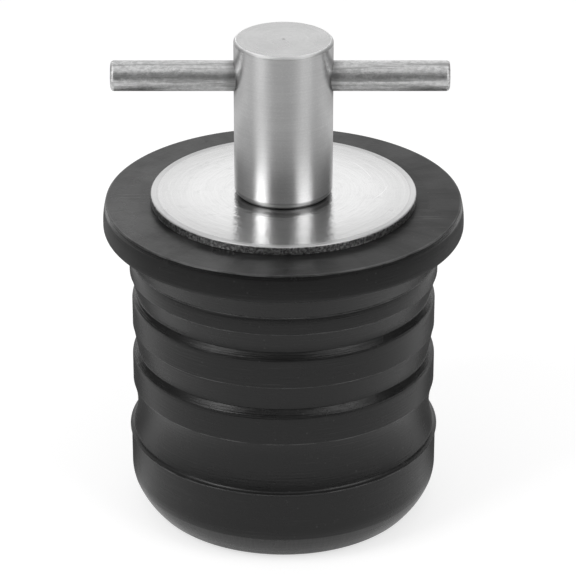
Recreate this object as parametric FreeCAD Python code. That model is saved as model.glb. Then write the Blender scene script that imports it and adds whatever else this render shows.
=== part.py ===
"""Expanding drain plug for a boat: a moulded rubber bung, squeezed between two steel discs by a T-handle.

The T-handle is a turned barrel with a cross pin. It screws onto a cup-head bolt that runs down through
the bung. Turned clockwise, it draws the bolt and the pressure plate up, which shortens the bung and
makes it swell until it seals the drain.

Millimetres. The origin is the centre of the foot, +Z up along the axis, +X along the cross pin.
"""
import FreeCAD, Part
import math
import os

# Rubber bung, outside, from the foot up
wall_radius = 19.2
foot_round = 1.8
lead_in_height = 3.35
lead_in_width = 2.5
lead_in_round = 4.4
lip_height = 10.25
lip_step = 0.24
lip_underside = 0.3
lip_ledge = 0.55
waist_length = 6.7
waist_radius = 18.35
third_rib_radius = 18.86
third_rib_straight = 3.6
second_rib_radius = 18.78
second_rib_taper = 3.15
second_rib_straight = 3.65
first_rib_radius = 19.02
first_rib_taper = 2.7
first_rib_straight = 1.1
first_rib_crown = 1.1
first_rib_fall = 0.1
groove_depth = 0.6
shoulder_length = 0.9
shoulder_round = 1.3
neck_length = 3.3
neck_flare = 1.2
neck_fillet = 0.5
flange_radius = 22.1
flange_thickness = 3.65
flange_under_round = 0.7
flange_side_curve = 2.6
flange_side_fall = 0.36

# Screw: the cup-head bolt with its square neck, and how far it can be drawn
shank_radius = 3.0
thread_engagement = 7.5
draw_travel = 2.5
bolt_tip_chamfer = 0.6
head_radius = 8.0
head_height = 3.3
head_rim = 0.9
square_neck_reach = 2.0
head_inset = 0.8

# Pressure plate under the bung and washer on top of it
plate_radius = 13.0
plate_thickness = 1.5
washer_radius = 16.25
washer_thickness = 1.0

# Barrel and cross pin of the T-handle
barrel_radius = 6.0
barrel_length = 19.8
barrel_top_chamfer = 0.15
barrel_foot_chamfer = 0.3
bore_spare = 0.6
bore_mouth_chamfer = 0.4
drill_point_angle = 118.0
pin_radius = 1.85
pin_length = 40.7
pin_height = 15.1
pin_offset = -0.4
pin_end_chamfer = 0.35

# Clearances
thread_clearance = 0.05
hole_clearance = 0.3
plate_clearance = 0.3
socket_clearance = 0.3
square_clearance = 0.05

# How far the chords of a round may stray from the true curve
chord_deviation = 0.06

# Radii and heights that the sizes above give
lip_radius = wall_radius + lip_step
groove_radius = second_rib_radius - groove_depth
third_rib_bottom = lip_height + waist_length
second_rib_bottom = third_rib_bottom + third_rib_straight + shoulder_length
first_rib_bottom = second_rib_bottom + second_rib_taper + second_rib_straight + shoulder_length
neck_bottom = first_rib_bottom + first_rib_taper + first_rib_straight + first_rib_crown
neck_radius = first_rib_radius - first_rib_fall
flange_underside = neck_bottom + neck_length
bung_top = flange_underside + flange_thickness
washer_top = bung_top + washer_thickness
recess_depth = plate_thickness + head_height + head_inset
plate_underside = recess_depth - plate_thickness
bolt_tip = washer_top + thread_engagement
square_half_width = shank_radius
bore_radius = shank_radius + thread_clearance
bore_depth = thread_engagement + draw_travel + bore_spare

UP = FreeCAD.Vector(0, 0, 1)


def at(radius, height):
    """Point of an outline: distance from the axis, height above the foot."""
    return FreeCAD.Vector(radius, 0, height)


def chords(start, middle, end):
    """Points along an arc whose chords stand for it, so that its turned face is a row of plain cones."""
    return Part.Arc(start, middle, end).toShape().discretize(Deflection=chord_deviation)


class Outline:
    """Closed half-section, drawn corner by corner and turned about the Z axis."""

    def __init__(self, radius, height):
        self.points = [at(radius, height)]
        self.rounds = [0]
        self.middles = []

    def line(self, radius, height, rounding=0):
        """Straight to the next corner, which can be rounded."""
        self.middles.append(None)
        self.points.append(at(radius, height))
        self.rounds.append(rounding)

    def arc(self, middle_radius, middle_height, radius, height):
        """Arc through a middle point to the next corner."""
        self.line(radius, height)
        self.middles[-1] = at(middle_radius, middle_height)

    def lean_in(self, rise, fall):
        """Arc that starts upright and leans in by the fall as it climbs the rise."""
        start = self.points[-1]
        bend = (rise ** 2 + fall ** 2) / (2 * fall)
        half_lean = math.asin(rise / bend) / 2
        self.arc(start.x - bend * (1 - math.cos(half_lean)), start.z + bend * math.sin(half_lean),
                 start.x - fall, start.z + rise)

    def corner(self, index):
        """Points of a corner: just itself, or those of its round."""
        here, rounding = self.points[index], self.rounds[index]
        if not rounding:
            return [here]
        back = (self.points[index - 1] - here).normalize()
        ahead = (self.points[(index + 1) % len(self.points)] - here).normalize()
        half_angle = back.getAngle(ahead) / 2
        reach = rounding / math.tan(half_angle)
        bisector = (back + ahead).normalize()
        middle = here + bisector * (rounding / math.sin(half_angle) - rounding)
        return chords(here + back * reach, middle, here + ahead * reach)

    def turned(self):
        """Solid of revolution of the closed outline."""
        corners = [self.corner(index) for index in range(len(self.points))]
        points = list(corners[0])
        for middle, after in zip(self.middles, corners[1:]):
            if middle:
                points += chords(points[-1], middle, after[0])[1:-1]
            points += after
        face = Part.Face(Part.makePolygon(points + points[:1]))
        return face.revolve(FreeCAD.Vector(0, 0, 0), UP, 360)


def cylinder(radius, low, high):
    """Upright cylinder on the axis between two heights."""
    return Part.makeCylinder(radius, high - low, at(0, low), UP)


def square_bar(half_width, low, high):
    """Upright square bar on the axis between two heights."""
    side = 2 * half_width
    return Part.makeBox(side, side, high - low, FreeCAD.Vector(-half_width, -half_width, low))


def rubber_bung():
    """Foot, lead-in, parting lip, waist, three barbed ribs, flared neck and flange, moulded in one piece."""
    outline = Outline(0, 0)
    outline.line(wall_radius - lead_in_width, 0, foot_round)
    outline.line(wall_radius, lead_in_height, lead_in_round)
    outline.line(wall_radius, lip_height - lip_underside)
    outline.line(lip_radius, lip_height)
    outline.line(lip_radius - lip_ledge, lip_height)
    outline.arc(waist_radius, lip_height + waist_length / 2, third_rib_radius, third_rib_bottom)
    outline.line(third_rib_radius, third_rib_bottom + third_rib_straight, shoulder_round)
    outline.line(groove_radius, second_rib_bottom)
    outline.line(second_rib_radius, second_rib_bottom + second_rib_taper)
    outline.line(second_rib_radius, first_rib_bottom - shoulder_length, shoulder_round)
    outline.line(groove_radius, first_rib_bottom)
    outline.line(first_rib_radius, first_rib_bottom + first_rib_taper)
    outline.line(first_rib_radius, neck_bottom - first_rib_crown)
    outline.lean_in(first_rib_crown, first_rib_fall)
    outline.line(neck_radius + neck_flare, flange_underside, neck_fillet)
    outline.line(flange_radius, flange_underside, flange_under_round)
    outline.line(flange_radius, bung_top - flange_side_curve)
    outline.lean_in(flange_side_curve, flange_side_fall)
    outline.line(0, bung_top)
    bung = outline.turned()

    recess = cylinder(plate_radius + plate_clearance, 0, recess_depth)
    bolt_hole = cylinder(shank_radius + hole_clearance, 0, bung_top)
    socket_top = recess_depth + square_neck_reach + socket_clearance
    socket = square_bar(square_half_width + socket_clearance, 0, socket_top)
    return bung.cut(recess.fuse([bolt_hole, socket])).removeSplitter()


def top_washer():
    """Flat washer that the barrel turns on."""
    disc = cylinder(washer_radius, bung_top, washer_top)
    return disc.cut(cylinder(shank_radius + hole_clearance, bung_top, washer_top))


def pressure_plate():
    """Disc that squeezes the bung from below, with a square hole for the bolt's neck."""
    disc = cylinder(plate_radius, plate_underside, recess_depth)
    return disc.cut(square_bar(square_half_width + square_clearance, plate_underside, recess_depth))


def draw_bolt():
    """Cup-head bolt: domed head with a low rim, square neck and a shank up into the barrel."""
    head_bottom = plate_underside - head_height
    dome_rise = head_height - head_rim
    dome_radius = (head_radius ** 2 + dome_rise ** 2) / (2 * dome_rise)
    half_way = head_radius / 2
    dome_middle = head_bottom + dome_radius - math.sqrt(dome_radius ** 2 - half_way ** 2)
    head = Outline(0, head_bottom)
    head.arc(half_way, dome_middle, head_radius, plate_underside - head_rim)
    head.line(head_radius, plate_underside)
    head.line(0, plate_underside)
    neck = square_bar(square_half_width, plate_underside, recess_depth + square_neck_reach)
    shank = Outline(0, plate_underside)
    shank.line(shank_radius, plate_underside)
    shank.line(shank_radius, bolt_tip - bolt_tip_chamfer)
    shank.line(shank_radius - bolt_tip_chamfer, bolt_tip)
    shank.line(0, bolt_tip)
    return head.turned().fuse([neck, shank.turned()]).removeSplitter()


def cross_pin():
    """Plain rod along X with chamfered ends, pressed in a little off centre."""
    half_length = pin_length / 2
    rod = Part.makeCylinder(pin_radius, pin_length, FreeCAD.Vector(-half_length, 0, 0), FreeCAD.Vector(1, 0, 0))
    ends = [edge for edge in rod.Edges if isinstance(edge.Curve, Part.Circle)]
    rod = rod.makeChamfer(pin_end_chamfer, ends)
    rod.translate(at(pin_offset, washer_top + pin_height))
    return rod


def handle_barrel():
    """Turned barrel: blind threaded bore from below with a drill point, and a cross hole for the pin."""
    top = washer_top + barrel_length
    outline = Outline(0, washer_top)
    outline.line(barrel_radius - barrel_foot_chamfer, washer_top)
    outline.line(barrel_radius, washer_top + barrel_foot_chamfer)
    outline.line(barrel_radius, top - barrel_top_chamfer)
    outline.line(barrel_radius - barrel_top_chamfer, top)
    outline.line(0, top)

    bore_top = washer_top + bore_depth
    point_rise = bore_radius / math.tan(math.radians(drill_point_angle / 2))
    bore = Outline(0, washer_top)
    bore.line(bore_radius + bore_mouth_chamfer, washer_top)
    bore.line(bore_radius, washer_top + bore_mouth_chamfer)
    bore.line(bore_radius, bore_top)
    bore.line(0, bore_top + point_rise)

    across = 2 * barrel_radius
    cross_hole = Part.makeCylinder(pin_radius, 2 * across, FreeCAD.Vector(-across, 0, washer_top + pin_height),
                                   FreeCAD.Vector(1, 0, 0))
    return outline.turned().cut(bore.turned().fuse(cross_hole))


PIECES = {
    "rubber_bung": rubber_bung,
    "top_washer": top_washer,
    "handle_barrel": handle_barrel,
    "cross_pin": cross_pin,
    "draw_bolt": draw_bolt,
    "pressure_plate": pressure_plate,
}

os.makedirs("parts", exist_ok=True)
for name, make in PIECES.items():
    piece = make()
    solids = piece.Solids
    print(name, "solids", len(solids), "valid", piece.isValid(), "volume %.1f" % piece.Volume)
    piece = solids[0] if len(solids) == 1 else piece
    piece.exportStep("parts/%s.step" % name)
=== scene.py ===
"""Looks of the expanding drain plug: a rubber bung between two steel discs, a bolt and a T-handle.

Sizes below are millimetres in the part's own frame: the foot's centre is the origin, +Z runs up the axis
and +X along the cross pin. Meshes are made in metres. Sizes that the frame doesn't give repeat those of
the CAD source, apart from its finer edges and rounds, which are added here.
"""
import math
from functools import reduce

import bpy
import numpy as np
from mathutils import Matrix, Vector

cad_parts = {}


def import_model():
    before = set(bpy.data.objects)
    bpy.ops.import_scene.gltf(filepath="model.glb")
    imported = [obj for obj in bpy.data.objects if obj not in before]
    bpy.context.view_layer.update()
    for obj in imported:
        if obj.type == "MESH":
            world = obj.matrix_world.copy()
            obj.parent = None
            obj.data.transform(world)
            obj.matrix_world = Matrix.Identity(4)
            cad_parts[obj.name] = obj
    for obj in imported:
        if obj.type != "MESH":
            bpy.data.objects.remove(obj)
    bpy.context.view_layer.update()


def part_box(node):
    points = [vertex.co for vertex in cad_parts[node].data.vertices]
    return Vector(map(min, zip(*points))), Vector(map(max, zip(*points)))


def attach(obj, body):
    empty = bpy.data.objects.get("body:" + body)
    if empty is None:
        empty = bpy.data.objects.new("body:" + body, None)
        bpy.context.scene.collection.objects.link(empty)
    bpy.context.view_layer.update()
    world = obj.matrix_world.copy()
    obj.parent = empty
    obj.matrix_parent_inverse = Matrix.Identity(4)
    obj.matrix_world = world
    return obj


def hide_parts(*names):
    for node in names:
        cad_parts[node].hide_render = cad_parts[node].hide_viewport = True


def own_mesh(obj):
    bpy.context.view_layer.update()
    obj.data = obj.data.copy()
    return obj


MM = 0.001
TAU = 2 * math.pi

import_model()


def extents(node):
    """Lowest and highest corner of a CAD node, in millimetres."""
    return [Vector(corner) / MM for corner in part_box(node)]


# Sizes read from the frame
bung_high = extents("rubber_bung")[1]
washer_low, washer_high = extents("top_washer")
barrel_low, barrel_high = extents("handle_barrel")
pin_low, pin_high = extents("cross_pin")
bolt_low, bolt_high = extents("draw_bolt")
plate_low, plate_high = extents("pressure_plate")

flange_radius = bung_high.x
bung_top = bung_high.z
washer_radius = washer_high.x
barrel_radius = barrel_high.y
pin_radius = pin_high.y
pin_centre = (pin_low + pin_high) / 2
pin_half_length = (pin_high.x - pin_low.x) / 2
head_radius = bolt_high.x
plate_radius = plate_high.x
recess_top = plate_high.z

# Rubber bung, from the foot up
wall_radius = 19.2
foot_round = 1.8
lead_in_height = 3.35
lead_in_width = 2.5
lead_in_crown = 0.16
wall_edge_height = 3.72
wall_edge_rise = 1.5
wall_edge_fall = 0.22
lip_height = 10.25
lip_step = 0.24
lip_underside = 0.3
lip_underside_round = 0.06
lip_edge_drop = 0.05
lip_edge_round = 0.08
lip_ledge = 0.55
ledge_rise = 0.08
ledge_round = 0.4
waist_length = 6.7
waist_radius = 18.35
third_rib_radius = 18.86
third_rib_straight = 3.6
shoulder_length = 0.9
groove_radius = 18.18
groove_round = 0.25
second_rib_radius = 18.78
second_rib_taper = 3.15
second_rib_straight = 3.65
first_rib_radius = 19.02
first_rib_taper = 2.7
first_rib_straight = 1.1
first_rib_crown = 1.1
first_rib_fall = 0.1
rib_top_round = 1.3
edge_round = 0.12
parting_step = 0.04
parting_rise = 0.02
parting_round = 0.02
neck_length = 3.3
neck_flare = 1.2
neck_fillet = 0.5
flange_under_round = 0.7
flange_side_curve = 2.6
flange_side_fall = 0.36
flange_edge_round = 0.13

# Bead where the neck starts: its size, and its corners outward and upward as multiples of that
seam_bead = 0.05
seam_profile = [(0, -1), (0.7, -0.7), (1, 0), (1, 0.7), (0.5, 1.3)]

# Radii and heights that the sizes above give
lip_radius = wall_radius + lip_step
third_rib_bottom = lip_height + waist_length
second_rib_bottom = third_rib_bottom + third_rib_straight + shoulder_length
first_rib_bottom = second_rib_bottom + second_rib_taper + second_rib_straight + shoulder_length
crown_bottom = first_rib_bottom + first_rib_taper + first_rib_straight
crown_radius = first_rib_radius - first_rib_fall
neck_bottom = crown_bottom + first_rib_crown
flange_underside = neck_bottom + neck_length

# Inside the bung and the barrel
plate_clearance = 0.3
recess_radius = plate_radius + plate_clearance
recess_round = 0.1
recess_mouth_round = 0.3
bore_radius = 3.3
bore_mouth_round = 0.2
socket_half_width = 3.3
socket_depth = 2.3
barrel_bore_radius = 3.05
barrel_bore_depth = 10.6
barrel_bore_mouth = 0.4
drill_point = 1.83

# Bolt and pressure plate
shank_radius = 3.0
square_neck_top = 7.6
head_height = 3.3
head_rim = 0.9
head_rim_round = 0.3
head_edge_round = 0.1
thread_pitch = 1.0
thread_depth = 0.54
thread_length = 24.0
thread_flank_slope = 1.25
thread_crest = 0.12
bolt_tip_chamfer = 0.6
plate_hole_clearance = 0.05
plate_edge_round = 0.25

# Turned and pressed edges of the steel pieces
barrel_top_chamfer = 0.28
barrel_foot_chamfer = 0.5
barrel_foot_taper = 0.75
barrel_foot_fall = 0.14
barrel_foot_round = 0.2
barrel_taper_round = 0.03
washer_bevel = 0.22
washer_bevel_drop = 0.1
pin_end_round = 0.45
burr_round = 0.06

# Meshes: segments around the axis, and the longest stretch between two rings
bung_segments, bung_stretch = 256, 0.45
washer_segments, washer_stretch = 256, 0.6
barrel_segments, barrel_stretch = 192, 0.5
pin_segments, pin_stretch = 96, 0.5
bolt_segments, bolt_stretch = 64, 1.5
plate_segments, plate_stretch = 160, 0.8
dome_stations = 13
thread_rings_per_turn = 10

# Degrees between the points of a round, and the bend at which a smooth face becomes a sharp edge
round_step = 9
cut_bend = math.radians(50)
formed_bend = math.radians(40)

# Stretches up to so many times the longest stay whole. The stations that hold the ends of the others are
# this share of the longest stretch, or of their own, away from them.
whole_stretch = 2.5
support_of_longest = 0.15
support_of_own = 0.1

# The first round ring outside a square hole or bar, as a multiple of its half width, clears its corners
past_corners = 1.5

# Rings a hair or two inside another radius, as a share of it, can have a shape of their own there
hair_inside = 0.999
two_hairs_inside = 0.998

# A station closer to the axis than this is a single point on it
on_axis = 1e-6

# The drill for the cross hole reaches so many radii of the barrel to each side
drill_reach = 1.2

# Half widths of the light scratches on the washer and on top of the flange
washer_scratch = 0.07
flange_scratch = 0.09

# Those on the washer: centre x and y, radius, and where each starts and ends in turns
washer_scratches = [
    (4.5, 3.0, 8.4, -0.13, -0.02),
    (-1.5, 1.0, 12.6, 0.02, 0.11),
    (2.5, -2.5, 9.2, 0.38, 0.47),
    (9.5, 8.0, 6.5, 0.56, 0.68),
]

# Those on top of the flange, given in the same way
flange_scratches = [
    (-18.6, 60.0, 59.0, -0.258, -0.243),
    (-18.2, 60.0, 59.9, -0.256, -0.246),
    (17.6, 60.0, 65.4, -0.256, -0.244),
    (17.9, 60.0, 66.0, -0.255, -0.245),
]

# Lines along the mould's rings on the bung, painted pale as highlights: height and half width
parting_lines = [
    (lip_height - 0.08, 0.09),
    (third_rib_bottom, 0.11),
    (second_rib_bottom + second_rib_taper, 0.11),
    (first_rib_bottom + first_rib_taper, 0.12),
    (neck_bottom, 0.13),
    (flange_underside + 0.15, 0.14),
    (bung_top - 0.1, 0.12),
]

# The inner share of a band that has its full strength
band_core = 0.3

# Light levels of the room, where 1 is white
back_level = 1.12
left_level = 0.304
right_level = 0.192
front_level = 0.068
ceiling_level = 0.76

# Floor, and the height that the softboxes face, in metres
floor_radius = 0.5
floor_sides = 64
floor_drop = 0.00002
softbox_aim = 0.03

# Camera: the view that was fitted to the photograph, whose frame is 576 pixels wide
frame_pixels = 576
focal_pixels = 2982
view_elevation = 26.3
view_distance = 370.26
aim_below_bung_top = 12.375
sensor_width = 36.0
shift_right = 4.5
shift_up = 0.5


# Outlines and lathes

def unit(vector):
    """Vector of length 1."""
    return vector / np.linalg.norm(vector)


def rounded(corners, closed):
    """Points of an outline whose corners (radius, height, rounding) are rounded by short arcs."""
    points = []
    last = len(corners) - 1
    for index, (radius, height, rounding) in enumerate(corners):
        here = np.array((radius, height), float)
        if not rounding or (not closed and index in (0, last)):
            points.append(here)
            continue
        back = unit(np.array(corners[index - 1][:2], float) - here)
        ahead = unit(np.array(corners[(index + 1) % len(corners)][:2], float) - here)
        half = math.acos(np.clip(back @ ahead, -1, 1)) / 2
        reach = rounding / math.tan(half)
        centre = here + unit(back + ahead) * rounding / math.sin(half)
        start = here + back * reach - centre
        end = here + ahead * reach - centre
        turn = math.pi - 2 * half
        parts = max(2, math.ceil(math.degrees(turn) / round_step))
        for part in range(parts + 1):
            share = part / parts
            points.append(centre + (start * math.sin((1 - share) * turn)
                                    + end * math.sin(share * turn)) / math.sin(turn))
    return points


def spaced(points, longest, closed, hidden_radius):
    """The outline with long straight stretches divided, and a station close to each of their ends.

    Stretches within the hidden radius stay as they are.
    """
    following = points[1:] + points[:1] if closed else points[1:]
    made = []
    for start, end in zip(points, following):
        made.append(start)
        length = np.linalg.norm(end - start)
        if length > whole_stretch * longest and max(start[0], end[0]) > hidden_radius:
            support = min(support_of_longest * longest, support_of_own * length) / length
            parts = max(1, math.ceil(length / longest))
            shares = [support] + [part / parts for part in range(1, parts)] + [1 - support]
            made += [start + (end - start) * share for share in shares]
    return made if closed else made + [points[-1]]


def outline(corners, longest, closed=False, hidden_radius=0.0):
    """Stations of an outline: its corners rounded, and its long stretches divided."""
    return spaced(rounded(corners, closed), longest, closed, hidden_radius)


def arc_corners(start, middle, end, parts):
    """Corners along the circle through three points (radius, height), ends left out."""
    (ax, ay), (bx, by), (cx, cy) = start, middle, end
    d = 2 * (ax * (by - cy) + bx * (cy - ay) + cx * (ay - by))
    a2, b2, c2 = ax ** 2 + ay ** 2, bx ** 2 + by ** 2, cx ** 2 + cy ** 2
    ux = (a2 * (by - cy) + b2 * (cy - ay) + c2 * (ay - by)) / d
    uy = (a2 * (cx - bx) + b2 * (ax - cx) + c2 * (bx - ax)) / d
    first, last = math.atan2(ay - uy, ax - ux), math.atan2(cy - uy, cx - ux)
    turn = (last - first + math.pi) % TAU - math.pi
    radius = math.hypot(ax - ux, ay - uy)
    angles = [first + turn * part / parts for part in range(1, parts)]
    return [(ux + radius * math.cos(a), uy + radius * math.sin(a), 0) for a in angles]


def bulged(start, end, parts):
    """Corners of an arc that leaves start upright and leans in to end, ends left out."""
    rise, fall = end[1] - start[1], start[0] - end[0]
    radius = (rise ** 2 + fall ** 2) / (2 * fall)
    lean = math.asin(rise / radius)
    angles = [lean * part / parts for part in range(1, parts)]
    return [(start[0] - radius * (1 - math.cos(a)), start[1] + radius * math.sin(a), 0) for a in angles]


def mesh_object(name, vertices, faces):
    """New mesh object in the scene."""
    mesh = bpy.data.meshes.new(name)
    mesh.from_pydata(vertices, [], faces)
    made = bpy.data.objects.new(name, mesh)
    bpy.context.scene.collection.objects.link(made)
    return made


def lathe(name, stations, segments, radius_at=None, closed=True):
    """Mesh object turned about Z from (radius, height) stations. radius_at can bend a ring's radius."""
    angles = np.arange(segments) * TAU / segments
    verts, faces, rings = [], [], []
    for radius, height in stations:
        if radius < on_axis:
            rings.append([len(verts)])
            verts.append((0, 0, height))
            continue
        radii = np.full(segments, radius) if radius_at is None else radius_at(radius, height, angles)
        rings.append(range(len(verts), len(verts) + segments))
        verts += zip(radii * np.cos(angles), radii * np.sin(angles), np.full(segments, height))
    following = rings[1:] + rings[:1] if closed else rings[1:]
    for low, high in zip(rings, following):
        for i in range(segments):
            j = (i + 1) % segments
            if len(low) == 1 and len(high) == 1:
                continue
            if len(low) == 1:
                faces.append((low[0], high[j], high[i]))
            elif len(high) == 1:
                faces.append((low[i], low[j], high[0]))
            else:
                faces.append((low[i], low[j], high[j], high[i]))
    made = mesh_object(name, [tuple(c * MM for c in v) for v in verts], faces)
    made.data.validate()
    made.data.polygons.foreach_set("use_smooth", [True] * len(made.data.polygons))
    return made


def square_at(half_width):
    """Bends the rings whose radius is the half width into squares, and leaves the others round."""
    def radius_at(radius, height, angles):
        if math.isclose(radius, half_width):
            return radius / np.maximum(np.abs(np.cos(angles)), np.abs(np.sin(angles)))
        return np.full(len(angles), radius)

    return radius_at


# Pieces

def finish_piece(piece, body, node, material):
    """Puts the finished piece in its node's place, on its body, with its material."""
    piece.data.materials.append(material)
    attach(piece, body)
    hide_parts(node)
    return piece


def bung_corners():
    """Outline of the bung, anticlockwise: recess, foot, waist, ribs, neck, flange and back to the bore."""
    waist_start = (lip_radius - lip_ledge, lip_height + ledge_rise)
    waist_middle = (waist_radius, lip_height + waist_length / 2)
    waist_end = (third_rib_radius, third_rib_bottom)
    second_rib_top = second_rib_bottom + second_rib_taper + second_rib_straight
    side_start = (flange_radius, bung_top - flange_side_curve)
    side_end = (flange_radius - flange_side_fall, bung_top)
    return [
        (past_corners * socket_half_width, recess_top, 0),
        (recess_radius, recess_top, recess_round),
        (recess_radius, 0, recess_mouth_round),
        (wall_radius - lead_in_width, 0, foot_round),
        *lead_in_corners(),
        (wall_radius, lip_height - lip_underside, lip_underside_round),
        (lip_radius, lip_height - lip_edge_drop, lip_edge_round),
        (*waist_start, ledge_round),
        *arc_corners(waist_start, waist_middle, waist_end, parts=14),
        (*waist_end, edge_round),
        (third_rib_radius, third_rib_bottom + third_rib_straight, rib_top_round),
        (groove_radius, second_rib_bottom, groove_round),
        *rib_corners(second_rib_bottom, second_rib_radius, second_rib_taper),
        (second_rib_radius, second_rib_top, rib_top_round),
        (groove_radius, first_rib_bottom, groove_round),
        *rib_corners(first_rib_bottom, first_rib_radius, first_rib_taper),
        (first_rib_radius, crown_bottom, 0),
        *bulged((first_rib_radius, crown_bottom), (crown_radius, neck_bottom), parts=6),
        *[(crown_radius + out * seam_bead, neck_bottom + up * seam_bead, 0) for out, up in seam_profile],
        (crown_radius + neck_flare, flange_underside, neck_fillet),
        (flange_radius, flange_underside, flange_under_round),
        (*side_start, 0),
        *bulged(side_start, side_end, parts=8),
        (*side_end, flange_edge_round),
        (bore_radius, bung_top, bore_mouth_round),
        (bore_radius, recess_top + socket_depth, 0),
    ]


def lead_in_corners():
    """Curved lead-in above the foot, up to the fine edge where the wall starts."""
    edge = (wall_radius - wall_edge_fall, wall_edge_height)
    slope = lead_in_width / lead_in_height
    low_height = foot_round / 2
    low = (wall_radius - lead_in_width + low_height * slope, low_height)
    middle = ((low[0] + edge[0]) / 2 + lead_in_crown, (low[1] + edge[1]) / 2)
    wall_start = wall_edge_height + wall_edge_rise
    wall_curve = bulged((wall_radius, 0), (edge[0], wall_edge_rise), parts=6)
    return [
        (*low, 0),
        *arc_corners(low, middle, edge, parts=8),
        (*edge, edge_round),
        *[(corner[0], wall_start - corner[1], 0) for corner in reversed(wall_curve)],
        (wall_radius, wall_start, 0),
    ]


def rib_corners(bottom, radius, taper):
    """End of a rib's taper, with the fine step of the mould's parting there."""
    top = bottom + taper
    return [(radius - parting_step, top - parting_rise, 0), (radius, top, parting_round)]


def rubber_bung():
    """The moulded bung, with its recess, square socket and bore."""
    socket_wall = hair_inside * socket_half_width
    socket = [(socket_wall, recess_top + socket_depth), (socket_wall, recess_top)]
    # The bore is hidden by the bolt and keeps its long stretches
    stations = outline(bung_corners(), bung_stretch, hidden_radius=1.01 * bore_radius)
    return lathe("bung", stations + socket, bung_segments, square_at(socket_wall))


def top_washer():
    """Flat washer with a small bevel on its upper rim."""
    corners = [
        (bore_radius, washer_low.z, burr_round),
        (washer_radius, washer_low.z, burr_round),
        (washer_radius, washer_high.z - washer_bevel_drop, burr_round),
        (washer_radius - washer_bevel, washer_high.z, burr_round),
        (bore_radius, washer_high.z, burr_round),
    ]
    return lathe("washer", outline(corners, washer_stretch, closed=True), washer_segments)


def handle_barrel():
    """Turned barrel with its bore and the cross hole for the pin."""
    top, foot = barrel_high.z, barrel_low.z
    bore_top = foot + barrel_bore_depth
    foot_edge_height = foot + barrel_foot_chamfer - barrel_foot_fall
    corners = [
        (0, bore_top + drill_point, 0),
        (barrel_bore_radius, bore_top, 0),
        (barrel_bore_radius, foot + barrel_bore_mouth, 0),
        (barrel_bore_radius + barrel_bore_mouth, foot, burr_round),
        (barrel_radius - barrel_foot_chamfer, foot, burr_round),
        (barrel_radius - barrel_foot_fall, foot_edge_height, barrel_foot_round),
        (barrel_radius, foot + barrel_foot_taper, barrel_taper_round),
        (barrel_radius, top - barrel_top_chamfer, burr_round),
        (barrel_radius - barrel_top_chamfer, top, burr_round),
        (0, top, 0),
    ]
    made = lathe("barrel", outline(corners, barrel_stretch), barrel_segments, closed=False)
    across = drill_reach * barrel_radius
    drill_stations = [(0, -across), (pin_radius, -across), (pin_radius, across), (0, across)]
    drill = lathe("drill", drill_stations, pin_segments, closed=False)
    drill.data.transform(Matrix.Translation((0, 0, pin_centre.z * MM)) @ Matrix.Rotation(math.pi / 2, 4, "Y"))
    cut = made.modifiers.new("cross_hole", "BOOLEAN")
    cut.operation, cut.solver, cut.object = "DIFFERENCE", "EXACT", drill
    graph = bpy.context.evaluated_depsgraph_get()
    whole, made.data = made.data, bpy.data.meshes.new_from_object(made.evaluated_get(graph))
    made.modifiers.clear()
    made.data.name = "barrel"
    made.data.set_sharp_from_angle(angle=cut_bend)
    bpy.data.objects.remove(drill)
    bpy.data.meshes.remove(whole)
    return made


def cross_pin():
    """Rod along X with rounded ends."""
    corners = [
        (0, -pin_half_length, 0),
        (pin_radius, -pin_half_length, pin_end_round),
        (pin_radius, pin_half_length, pin_end_round),
        (0, pin_half_length, 0),
    ]
    rod = lathe("pin", outline(corners, pin_stretch), pin_segments, closed=False)
    for vertex in rod.data.vertices:
        x, y, z = vertex.co
        vertex.co = (z + pin_centre.x * MM, y, pin_centre.z * MM - x)
    return rod


def draw_bolt():
    """Cup-head bolt with its square neck and a threaded shank."""
    head_bottom, tip = bolt_low.z, bolt_high.z
    head_top = head_bottom + head_height
    thread_bottom = tip - thread_length
    plain_shank = hair_inside * shank_radius
    threaded = two_hairs_inside * shank_radius
    dome_rise = head_height - head_rim
    dome_radius = (head_radius ** 2 + dome_rise ** 2) / (2 * dome_rise)
    dome_centre = head_bottom + dome_radius
    dome = [head_radius * share for share in np.linspace(0, 1, dome_stations)]
    corners = [(out, dome_centre - math.sqrt(dome_radius ** 2 - out ** 2), 0) for out in dome[:-1]]
    corners += [
        (head_radius, head_bottom + dome_rise, head_rim_round),
        (head_radius, head_top, head_edge_round),
        (past_corners * shank_radius, head_top, 0),
        (shank_radius, head_top, 0),
        (shank_radius, square_neck_top, 0),
        (plain_shank, square_neck_top, 0),
        (plain_shank, thread_bottom, 0),
    ]
    rings = round(thread_length * thread_rings_per_turn / thread_pitch)
    thread = [(threaded, tip - thread_length * (1 - ring / rings)) for ring in range(1, rings + 1)]
    square_neck = square_at(shank_radius)

    def radius_at(radius, height, angles):
        if not math.isclose(radius, threaded):
            return square_neck(radius, height, angles)
        into_tip = max(0.0, bolt_tip_chamfer - (tip - height))
        phase = (height / thread_pitch - angles / TAU) % 1
        flank = np.abs(2 * phase - 1)
        run_in = min(1.0, (height - thread_bottom) / thread_pitch)
        groove = np.clip(thread_flank_slope * flank - thread_crest, 0, 1)
        return np.minimum(radius - thread_depth * run_in * groove, radius - into_tip)

    stations = outline(corners, bolt_stretch) + thread + [(0.0, tip)]
    made = lathe("bolt", stations, bolt_segments, radius_at, closed=False)
    made.data.set_sharp_from_angle(angle=formed_bend)
    return made


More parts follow.
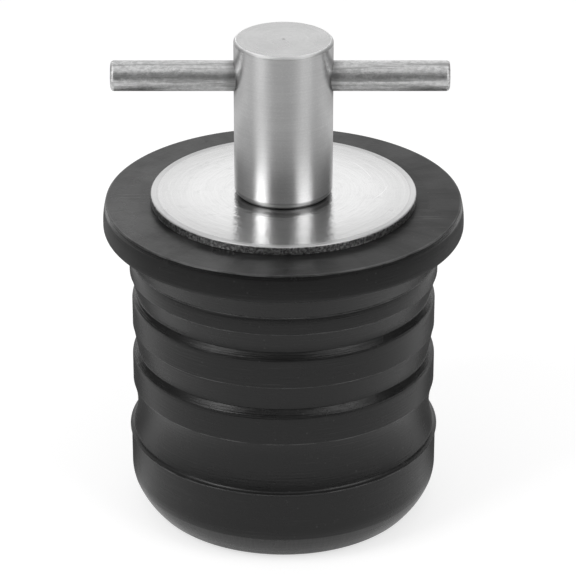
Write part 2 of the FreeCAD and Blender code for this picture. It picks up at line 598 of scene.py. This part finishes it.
def pressure_plate():
    """Disc with a square hole, under the bung."""
    hole = shank_radius + plate_hole_clearance
    corners = [
        (past_corners * hole, plate_low.z, 0),
        (plate_radius, plate_low.z, plate_edge_round),
        (plate_radius, plate_high.z, burr_round),
        (past_corners * hole, plate_high.z, 0),
    ]
    stations = outline(corners, plate_stretch) + [(hole, plate_high.z), (hole, plate_low.z)]
    made = lathe("plate", stations, plate_segments, square_at(hole))
    made.data.set_sharp_from_angle(angle=formed_bend)
    return made


# Materials

def grey(level):
    """Neutral colour of a linear level."""
    return (level, level, level, 1)


class Nodes:
    """A node tree, with short ways to add nodes. Values are numbers or outputs of nodes."""

    def __init__(self, tree):
        self.tree = tree

    def feed(self, socket, value):
        """Links a node's output to a socket, or sets the socket's value."""
        if isinstance(value, bpy.types.NodeSocket):
            self.tree.links.new(value, socket)
        else:
            socket.default_value = value

    def node(self, kind, inputs, **settings):
        """New node of a kind, with its settings and inputs."""
        made = self.tree.nodes.new("ShaderNode" + kind)
        for key, value in settings.items():
            setattr(made, key, value)
        for socket, value in inputs.items():
            self.feed(made.inputs[socket], value)
        return made

    def math(self, operation, *values):
        """Result of a math operation."""
        return self.node("Math", dict(enumerate(values)), operation=operation).outputs[0]

    def times(self, *values):
        """Product of values."""
        return reduce(lambda first, second: self.math("MULTIPLY", first, second), values)

    def highest(self, *values):
        """Highest of values."""
        return reduce(lambda first, second: self.math("MAXIMUM", first, second), values)

    def added(self, base, *terms):
        """The base with every term (amount, shares) added: the amount by the product of the shares."""
        for amount, *shares in terms:
            base = self.math("MULTIPLY_ADD", self.times(*shares), amount, base)
        return base

    def left_by(self, share):
        """What a share leaves of 1."""
        return self.math("SUBTRACT", 1.0, share)

    def length(self, x, y):
        """Length of a vector."""
        return self.math("SQRT", self.math("ADD", self.times(x, x), self.times(y, y)))

    def angle(self, y, x):
        """Angle of a vector, in turns."""
        return self.math("DIVIDE", self.math("ARCTAN2", y, x), TAU)

    def remap(self, value, low, high, to_low=0.0, to_high=1.0, smooth=True):
        """Value moved from one range to another, clamped."""
        inputs = {0: value, 1: low, 2: high, 3: to_low, 4: to_high}
        kind = "SMOOTHSTEP" if smooth else "LINEAR"
        return self.node("MapRange", inputs, interpolation_type=kind).outputs[0]

    def band(self, value, centre, half_width):
        """1 near a value, fading to 0 at half a width from it."""
        away = self.math("ABSOLUTE", self.math("SUBTRACT", value, centre))
        return self.remap(away, band_core * half_width, half_width, 1, 0)

    def blend(self, share, first, second):
        """Number between two values."""
        return self.node("Mix", {0: share, 2: first, 3: second}, data_type="FLOAT").outputs[0]


class Shader(Nodes):
    """A Principled material and the nodes that feed it."""

    def __init__(self, name, **surface):
        self.material = bpy.data.materials.new(name)
        self.material.use_nodes = True
        super().__init__(self.material.node_tree)
        self.surface = self.tree.nodes["Principled BSDF"]
        self.paint(**surface)
        self.position = self.node("TexCoord", {}).outputs["Object"]
        self.x, self.y, self.z = self.node("SeparateXYZ", {"Vector": self.position}).outputs

    def paint(self, **inputs):
        """Feeds the surface's sockets and returns the material."""
        for socket, value in inputs.items():
            self.feed(self.surface.inputs[socket.replace("_", " ")], value)
        return self.material

    def in_mm(self, coordinate):
        """Coordinate in millimetres."""
        return self.times(coordinate, 1 / MM)

    def out(self):
        """Distance from the axis, in millimetres."""
        return self.math("DIVIDE", self.length(self.x, self.y), MM)

    def turn(self):
        """Angle about the axis, in turns."""
        return self.angle(self.y, self.x)

    def noise(self, scale, detail=2.0, roughness=0.5, vector=None):
        """Noise from about 0 to 1 at a scale, at the surface's position or at a vector."""
        where = self.position if vector is None else vector
        inputs = {"Vector": where, "Scale": scale, "Detail": detail, "Roughness": roughness}
        return self.node("TexNoise", inputs).outputs[0]

    def stretched_noise(self, *axes, scale=1.0, detail=2.0, roughness=0.5):
        """Noise with a scale of its own on each axis (coordinate, scale). An axis can also be one value."""
        axes = [self.times(*axis) if isinstance(axis, tuple) else axis for axis in axes]
        vector = self.node("CombineXYZ", dict(enumerate(axes))).outputs[0]
        return self.noise(scale, detail, roughness, vector)

    def flecks(self, scale, size, share):
        """Round flecks: one in a share of the cells of a scale, each a size of its cell."""
        cells = self.node("TexVoronoi", {"Vector": self.position, "Scale": scale})
        chosen = self.node("SeparateColor", {"Color": cells.outputs["Color"]}).outputs[0]
        return self.times(self.remap(cells.outputs["Distance"], 0.5 * size, size, 1, 0),
                          self.math("LESS_THAN", chosen, share))

    def arc_mark(self, centre_x, centre_y, radius, start, end, half_width):
        """Thin arc on top, about a centre in millimetres, between two angles in turns."""
        x = self.math("SUBTRACT", self.in_mm(self.x), centre_x)
        y = self.math("SUBTRACT", self.in_mm(self.y), centre_y)
        return self.times(self.band(self.length(x, y), radius, half_width),
                          self.band(self.angle(y, x), (start + end) / 2, (end - start) / 2))

    def mix(self, share, first, second):
        """Colour between two greys or outputs."""
        made = self.node("Mix", {}, data_type="RGBA")
        sockets = [s for s in made.inputs if s.enabled]
        for socket, value in zip(sockets, (share, first, second)):
            self.feed(socket, grey(value) if isinstance(value, float) and socket.type == "RGBA" else value)
        return made.outputs["Result"]

    def layered(self, base, *layers):
        """The base colour under layers (grey, shares), each mixed in by the product of its shares."""
        for level, *shares in layers:
            base = self.mix(self.times(*shares), base, level)
        return base

    def bumps(self, *heights):
        """Normal of bumps on each other: (millimetres, shares), as high as the product of the shares."""
        normal = {}
        for distance, *shares in heights:
            inputs = {"Height": self.times(*shares), "Distance": distance * MM, "Strength": 1.0}
            normal = {"Normal": self.node("Bump", inputs | normal).outputs[0]}
        return normal["Normal"]

    def tangent(self, axis):
        """Direction around an axis, for the streaks of turning and drawing."""
        return self.node("Tangent", {}, direction_type="RADIAL", axis=axis).outputs[0]


def black_rubber():
    """Moulded black rubber: mould marks, specks and scuffs, a lighter mottle on the left of the flange top,
    and painted light and shade: highlights on the parting lines and the flange's top edge, a lighter lead-in
    and lip ledge, a darker low side of the flange.
    """
    s = Shader("black_rubber", IOR=1.5, Specular_IOR_Level=0.32)
    out, turn, height = s.out(), s.turn(), s.in_mm(s.z)
    cloudy = s.noise(140, 3)
    patches = s.noise(55, 2)
    grain = s.noise(3600, 3, 0.65)
    rings = s.stretched_noise((turn, 16), (height, 5), (out, 0.6), detail=4, roughness=0.6)
    upright = s.stretched_noise((turn, 420), (height, 0.35), 0.0)
    steps = s.stretched_noise((turn, 10), (height, 5.5), 3.0, detail=3, roughness=0.6)
    breaks = s.stretched_noise((turn, 22), (height, 3), 0.0, scale=1.6, detail=5, roughness=0.65)
    wiped = s.stretched_noise((s.x, 0.35), (s.y, 1.6), 0.0, scale=620, detail=4, roughness=0.6)

    # Where on the bung
    on_top = s.remap(height, bung_top - 0.08, bung_top - 0.03)
    leftward = s.remap(s.x, -0.018, 0.006, 1, 0)
    rightward = s.remap(s.x, -0.004, 0.018)
    # Painted reflection of the floor: the lead-in above the foot made lighter, less so toward the sides
    sideways = s.remap(s.math("ABSOLUTE", s.x), 0.008, 0.016, 0.8, 0.22)
    foot = s.times(s.remap(height, wall_edge_height - 0.1, wall_edge_height + 0.05, 1, 0),
                   s.remap(out, 15.5, 16.5), s.remap(upright, 0.3, 0.7, 0.7, 1))
    # Painted light: a lighter band on the lip's ledge
    ledge_light = s.times(s.band(height, lip_height + 0.1, 0.5), s.remap(out, 18.2, 18.5))
    shoulders = s.highest(s.band(height, second_rib_bottom - 0.5, 0.75),
                          s.band(height, first_rib_bottom - 0.5, 0.75))
    # Painted shade: the flange's side darker low down; it is also rougher there
    low_side = s.times(s.remap(out, flange_radius - 0.9, flange_radius - 0.6), s.left_by(on_top),
                       s.remap(height, bung_top - 0.5, bung_top - 0.9))

    # Marks of the mould and of use, a lighter mottle on the left of the flange top, and painted highlights
    # along the parting lines and the flange's top edge
    broken = s.remap(breaks, 0.4, 0.6)
    # Painted highlights: pale bands along the parting lines, broken up along their length
    lines = s.highest(*[s.band(height, line, half_width) for line, half_width in parting_lines])
    lines = s.times(lines, broken, s.remap(out, 17.6, 18.0))
    # Painted highlight: a pale line along the flange's top outer edge
    rim_highlight = s.times(s.remap(height, bung_top - 0.2, bung_top - 0.12),
                       s.remap(out, flange_radius - 0.62, flange_radius - 0.5))
    # Lighter mottle on the left of the flange top
    left_mottle = s.times(on_top, leftward, s.remap(s.noise(150, 5, 0.65), 0.42, 0.6))
    drawn = s.times(s.remap(rings, 0.6, 0.7), s.remap(cloudy, 0.45, 0.6))
    scuffs = s.times(s.remap(s.noise(620, 5, 0.7), 0.6, 0.7), s.remap(patches, 0.48, 0.62))
    specks = s.flecks(850, 0.13, 0.8)
    streaks = s.remap(wiped, 0.5, 0.68)

    base = s.layered(
        s.mix(cloudy, 0.0065, 0.011),
        (0.07, foot, sideways),
        (0.11, lines, 0.8),
        (0.022, ledge_light, 0.35),
        (0.13, rim_highlight, s.added(0.2, (0.35, broken))),
        (0.05, left_mottle, 0.6),
        (0.05, drawn, 0.35),
        (0.05, scuffs, 0.35),
        (0.06, specks, s.remap(patches, 0.4, 0.6, 0.1, 0.5)),
        (0.03, on_top, streaks, 0.6),
        *[(0.09, s.arc_mark(*scratch, flange_scratch), on_top, 0.5) for scratch in flange_scratches],
        (0.002, low_side, 0.4))
    roughness = s.added(
        s.remap(cloudy, 0.3, 0.7, 0.22, 0.32),
        (0.15, scuffs),
        (0.14, on_top, rightward),
        (0.08, on_top, s.remap(patches, 0.4, 0.6)),
        (0.27, low_side))
    normal = s.bumps((0.014, grain), (0.03, rings), (0.004, upright), (0.07, steps, shoulders))
    return s.paint(Base_Color=base, Roughness=roughness, Normal=normal)


def washer_steel():
    """Rolled steel faced in circles: a near mirror with fine rings, light scratches and a punched rim."""
    s = Shader("washer_steel", Metallic=1.0, Anisotropic=0.8, Anisotropic_Rotation=0.25)
    out, turn, height = s.out(), s.turn(), s.in_mm(s.z)
    rings = s.stretched_noise((out, 2.4), (turn, 5), 0.0, scale=1.5, detail=6, roughness=0.75)
    fine = s.stretched_noise((out, 0.9), (turn, 14), 7.0, scale=1.5, detail=3, roughness=0.6)
    crossed = s.stretched_noise((turn, 200), (out, 0.8), 2.0, detail=1)
    tracked = s.stretched_noise((out, 2.2), (turn, 7), 4.0, detail=3)
    ticked = s.stretched_noise((turn, 280), (height, 2.4), 0.0, detail=3, roughness=0.7)
    tearing = s.stretched_noise((turn, 90), (height, 3), 0.0, detail=3, roughness=0.7)

    # Where on the washer
    rim_corner = washer_radius - washer_high.z
    face = s.remap(s.math("SUBTRACT", out, height), rim_corner - 0.1, rim_corner + 0.1, 1, 0)
    side = s.left_by(face)
    edge_zone = s.remap(out, washer_radius - 0.85, washer_radius - 0.7)
    shadow = s.remap(out, barrel_radius - 0.5, barrel_radius + 0.2, 1, 0)
    dull = s.remap(out, 9.5, 15.5)

    # Marks of facing, punching and use
    tracks = s.remap(tracked, 0.58, 0.66)
    handled = s.remap(s.noise(330, 5, 0.7), 0.56, 0.72)
    tool_line = s.band(out, washer_radius - 0.78, 0.12)
    ticks = s.remap(ticked, 0.4, 0.6)
    torn = s.remap(tearing, 0.35, 0.65, 0.35, 1)

    base = s.layered(
        s.mix(rings, 0.66, 0.84),
        (0.28, dull, 0.22),
        (0.9, tracks, 0.12),
        (0.4, s.remap(fine, 0.5, 0.62), 0.07),
        (0.55, handled, 0.25),
        (0.4, tool_line, 0.35),
        (0.12, shadow, 0.7),
        *[(0.95, s.arc_mark(*scratch, washer_scratch), face, 0.5) for scratch in washer_scratches])
    rim = s.mix(s.times(ticks, torn), 0.09, 0.36)
    base = s.mix(face, rim, base)
    roughness = s.added(
        s.remap(out, barrel_radius, washer_radius, 0.1, 0.27, smooth=False),
        (0.05, handled),
        (0.12, edge_zone, face),
        (0.2, side))
    normal = s.bumps((0.004, rings, face), (0.06, fine, face), (0.011, crossed, face), (0.03, ticks, side))
    return s.paint(Base_Color=base, Roughness=roughness, Tangent=s.tangent("Z"), Normal=normal)


def turned_steel():
    """Turned bar: fine rings around the axis, a matt top edge with a painted highlight, and painted shade at
    the foot and around the pin.
    """
    s = Shader("turned_steel", Metallic=1.0, Anisotropic=0.85, Anisotropic_Rotation=0.25)
    out, turn, height = s.out(), s.turn(), s.in_mm(s.z)
    rings = s.stretched_noise((out, 3), (height, 4.2), (turn, 6), detail=5, roughness=0.75)
    pitted = s.stretched_noise((turn, 60), (height, 3.2), out, detail=4, roughness=0.7)
    cloudy = s.noise(260, 3)
    sandy = s.noise(4200, 3, 0.7)
    pits = s.remap(pitted, 0.6, 0.75)

    # Top, chamfer, the top edge's painted highlight, and painted shade at the foot
    on_top = s.remap(height, barrel_high.z - 0.1, barrel_high.z - 0.05)
    centre_mark = s.remap(out, 0.12, 0.3, 1, 0)
    chamfer_foot = barrel_high.z - barrel_top_chamfer
    # Painted highlight: a bright line along the top edge
    edge = s.times(s.remap(height, chamfer_foot + 0.1, chamfer_foot + 0.2),
                   s.band(out, barrel_radius - barrel_top_chamfer, 0.17))
    chamfer = s.times(s.remap(height, chamfer_foot - 0.03, chamfer_foot + 0.03),
                      s.remap(out, barrel_radius - 0.25, barrel_radius - 0.17))
    burr = s.times(s.band(height, chamfer_foot - 0.04, 0.12), s.remap(cloudy, 0.4, 0.6, 0.2, 1))
    # Painted shade: the lowest part of the wall darker, just above the washer
    foot = s.remap(height, barrel_low.z + 0.72, barrel_low.z + 1.0, 1, 0)

    # Painted shade around the pin: a dark ring at its entry and darker sides beside it
    from_pin = s.length(s.in_mm(s.y), s.math("SUBTRACT", height, pin_centre.z))
    entry_shade = s.remap(from_pin, pin_radius + 0.1, pin_radius + 0.9, 1, 0)
    shade_round_pin = s.remap(from_pin, pin_radius + 0.3, pin_radius + 3.2, 1, 0)
    beside = s.remap(s.math("ABSOLUTE", s.in_mm(s.x)), 4.2, 5.2)

    base = s.layered(
        s.mix(rings, 0.55, 0.75),
        (0.85, s.remap(sandy, 0.5, 0.7), 0.3),
        (0.4, pits, 0.35),
        (0.5, on_top, 0.3),
        (0.25, shade_round_pin, beside, 0.45),
        (0.12, entry_shade, 0.75),
        (0.9, chamfer, 0.7),
        (0.35, burr, 0.4),
        (0.97, edge, 0.9),
        (0.2, foot, 0.75),
        (0.2, centre_mark, on_top, 0.5))
    roughness = s.added(s.remap(cloudy, 0.3, 0.7, 0.34, 0.38), (-0.1, on_top), (0.4, edge), (0.4, chamfer))
    # Streaks run around the barrel's side and across its top. Sockets 4 and 5 are the vectors of a Mix.
    tangent = s.node("Mix", {0: on_top, 4: s.tangent("Z"), 5: (1, 0, 0)}, data_type="VECTOR").outputs[1]
    normal = s.bumps((0.01, rings), (0.006, sandy))
    return s.paint(Base_Color=base, Roughness=roughness, Tangent=tangent, Normal=normal)


def pin_steel():
    """Drawn rod with a dull mottled skin, streaked along its length, with painted shade where it enters the
    barrel.
    """
    s = Shader("pin_steel", Metallic=1.0, Anisotropic=0.5)
    along = s.in_mm(s.x)
    streaks = s.stretched_noise((s.x, 110), (s.y, 2300), (s.z, 2300), detail=5, roughness=0.7)
    mottle = s.stretched_noise((s.x, 0.6), s.y, s.z, scale=2600, detail=4, roughness=0.7)
    worn = s.stretched_noise((s.x, 90), (s.y, 700), (s.z, 700), detail=4)
    # Painted shade: the pin darker where it enters the barrel
    entry_shade = s.remap(s.math("ABSOLUTE", along), barrel_radius, barrel_radius + 1.4, 1, 0)
    from_middle = s.math("ABSOLUTE", s.math("SUBTRACT", along, pin_centre.x))
    sawn = s.remap(from_middle, pin_half_length - 0.5, pin_half_length - 0.3)

    base = s.layered(
        s.mix(s.remap(mottle, 0.35, 0.65), 0.52, 0.86),
        (0.72, s.remap(worn, 0.35, 0.6), 0.5),
        (0.34, s.remap(streaks, 0.48, 0.6), 0.62),
        (0.2, entry_shade, 0.55))
    roughness = s.added(s.remap(streaks, 0.3, 0.7, 0.32, 0.46), (0.25, sawn))
    normal = s.bumps((0.02, streaks), (0.012, mottle))
    return s.paint(Base_Color=base, Roughness=roughness, Tangent=s.tangent("X"), Normal=normal)


def plain_steel(name, roughness_low, roughness_high):
    """Cold formed or punched steel, with a faint cloudy grain."""
    s = Shader(name, Metallic=1.0)
    cloudy = s.noise(500, 4)
    base = s.mix(cloudy, 0.52, 0.62)
    roughness = s.remap(cloudy, 0.3, 0.7, roughness_low, roughness_high)
    return s.paint(Base_Color=base, Roughness=roughness, Normal=s.bumps((0.004, cloudy)))


# Studio

def glow(name, strength):
    """Material that glows at a strength and reflects nothing."""
    material = bpy.data.materials.new(name)
    material.use_nodes = True
    nodes = Nodes(material.node_tree)
    nodes.tree.nodes.clear()
    emission = nodes.node("Emission", {"Strength": strength})
    nodes.node("OutputMaterial", {"Surface": emission.outputs[0]})
    return material


def panel(name, azimuth, elevation, distance, width, height, strength):
    """Glowing panel that the camera doesn't see, facing the object.

    The azimuth is counted in degrees from the camera's side towards +X. Sizes are in metres.
    """
    a, e = math.radians(azimuth), math.radians(elevation)
    out = Vector((math.sin(a) * math.cos(e), -math.cos(a) * math.cos(e), math.sin(e)))
    right = Vector((math.cos(a), math.sin(a), 0))
    up = right.cross(out)
    centre = Vector((0, 0, softbox_aim)) + out * distance
    corners = [centre + right * (width * i / 2) + up * (height * j / 2)
               for i, j in ((-1, -1), (1, -1), (1, 1), (-1, 1))]
    made = mesh_object(name, corners, [range(len(corners))])
    made.data.materials.append(glow(name, strength))
    made.visible_camera = False


def floor():
    """White floor that keeps the object's shadow and reads white in the picture. For reflections it glows,
    with a painted glow and painted shadows.
    """
    turns = [side * TAU / floor_sides for side in range(floor_sides)]
    ring = [(floor_radius * math.cos(a), floor_radius * math.sin(a), -floor_drop) for a in turns]
    made = mesh_object("floor", ring, [range(floor_sides)])
    s = Shader("floor_white", Roughness=1.0, Specular_IOR_Level=0.0)
    rays = s.node("LightPath", {}).outputs
    seen = rays["Is Camera Ray"]
    out = s.out()
    from_front = s.angle(s.math("ABSOLUTE", s.x), s.times(s.y, -1))
    front = s.remap(from_front, 0.12, 0.2, 1, 0)

    # Painted shadows, dark to all but the camera: the object's shadows behind it, and painted shade far in
    # front of it
    wedge = s.added(s.math("ADD", from_front, 0.108), (-0.0018, out))
    behind = s.times(s.remap(wedge, 0.29, 0.37), s.remap(from_front, 0.41, 0.5, 1, 0.4))
    dark = s.highest(behind, s.times(front, s.remap(out, 140, 220, 0, 0.7)))

    # Painted glow that metal mirrors from the floor: brightest at the sides and close in front
    side_zone = s.times(s.band(from_front, 0.32, 0.14), s.remap(out, 102, 116))
    front_zone = s.times(front, s.remap(out, 90, 110))
    mirrored = s.times(s.highest(rays["Is Glossy Ray"], rays["Is Transmission Ray"]),
                       s.remap(out, 60, 260, 0.5, 0.0),
                       s.added(1.0, (1.2, side_zone)),
                       s.added(1.0, (0.35, front_zone)))
    strength = s.added(s.times(mirrored, s.added(1.0, (-0.85, dark))), (0.66, seen))
    base = s.mix(s.times(dark, s.left_by(seen)), 0.5, 0.08)
    made.data.materials.append(s.paint(Emission_Color=grey(1.0), Emission_Strength=strength, Base_Color=base))


def world():
    """Pale room: brightest behind the object, dark on the camera's side, white where the camera sees it."""
    made = bpy.data.worlds.new("studio")
    bpy.context.scene.world = made
    made.use_nodes = True
    w = Nodes(made.node_tree)
    w.tree.nodes.clear()
    direction = w.node("TexCoord", {}).outputs["Generated"]
    x, y, z = w.node("SeparateXYZ", {"Vector": direction}).outputs

    # Left and right walls, darker along the horizon
    level = w.added(left_level, (right_level - left_level, w.remap(x, -0.3, 0.3)))
    horizon = w.times(w.remap(z, -0.25, -0.05), w.remap(z, 0.45, 0.2))
    level = w.times(level, w.added(1.0, (-0.6, horizon)))

    # Back wall, ceiling, and the dark room on the camera's side
    level = w.blend(w.remap(y, 0.62, 0.9), level, back_level)
    level = w.blend(w.remap(z, 0.45, 0.95), level, ceiling_level)
    in_front = w.times(w.remap(y, -0.15, -0.5), w.remap(z, -0.12, -0.02), w.remap(z, 0.82, 0.6))
    level = w.blend(in_front, level, front_level)

    shown = w.blend(w.node("LightPath", {}).outputs["Is Camera Ray"], level, 1.0)
    background = w.node("Background", {"Color": grey(1.0), "Strength": shown})
    w.node("OutputWorld", {"Surface": background.outputs[0]})


def camera():
    """Camera at the photograph's angle and frame."""
    data = bpy.data.cameras.new("camera")
    data.sensor_width = sensor_width
    data.lens = focal_pixels / frame_pixels * sensor_width
    data.shift_x = shift_right / frame_pixels
    data.shift_y = shift_up / frame_pixels
    data.clip_start, data.clip_end = 0.01, 20
    made = bpy.data.objects.new("camera", data)
    bpy.context.scene.collection.objects.link(made)
    elevation = math.radians(view_elevation)
    target = Vector((0, 0, bung_top - aim_below_bung_top)) * MM
    back = Vector((0, -math.cos(elevation), math.sin(elevation)))
    made.location = target + back * view_distance * MM
    made.rotation_euler = (math.pi / 2 - elevation, 0, 0)
    bpy.context.scene.camera = made


finish_piece(top_washer(), "plug", "top_washer", washer_steel())
finish_piece(handle_barrel(), "handle", "handle_barrel", turned_steel())
finish_piece(cross_pin(), "handle", "cross_pin", pin_steel())
finish_piece(draw_bolt(), "draw", "draw_bolt", plain_steel("bolt_steel", 0.25, 0.35))
finish_piece(pressure_plate(), "draw", "pressure_plate", plain_steel("plate_steel", 0.3, 0.42))

bung = finish_piece(rubber_bung(), "plug", "rubber_bung", black_rubber())
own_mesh(bung)

world()
floor()
panel("softbox_left", azimuth=-55, elevation=38, distance=0.32, width=0.135, height=0.24, strength=4.6)
panel("softbox_right", azimuth=52, elevation=38, distance=0.32, width=0.17, height=0.24, strength=3.0)
camera()

bpy.context.scene.view_settings.view_transform = "Standard"
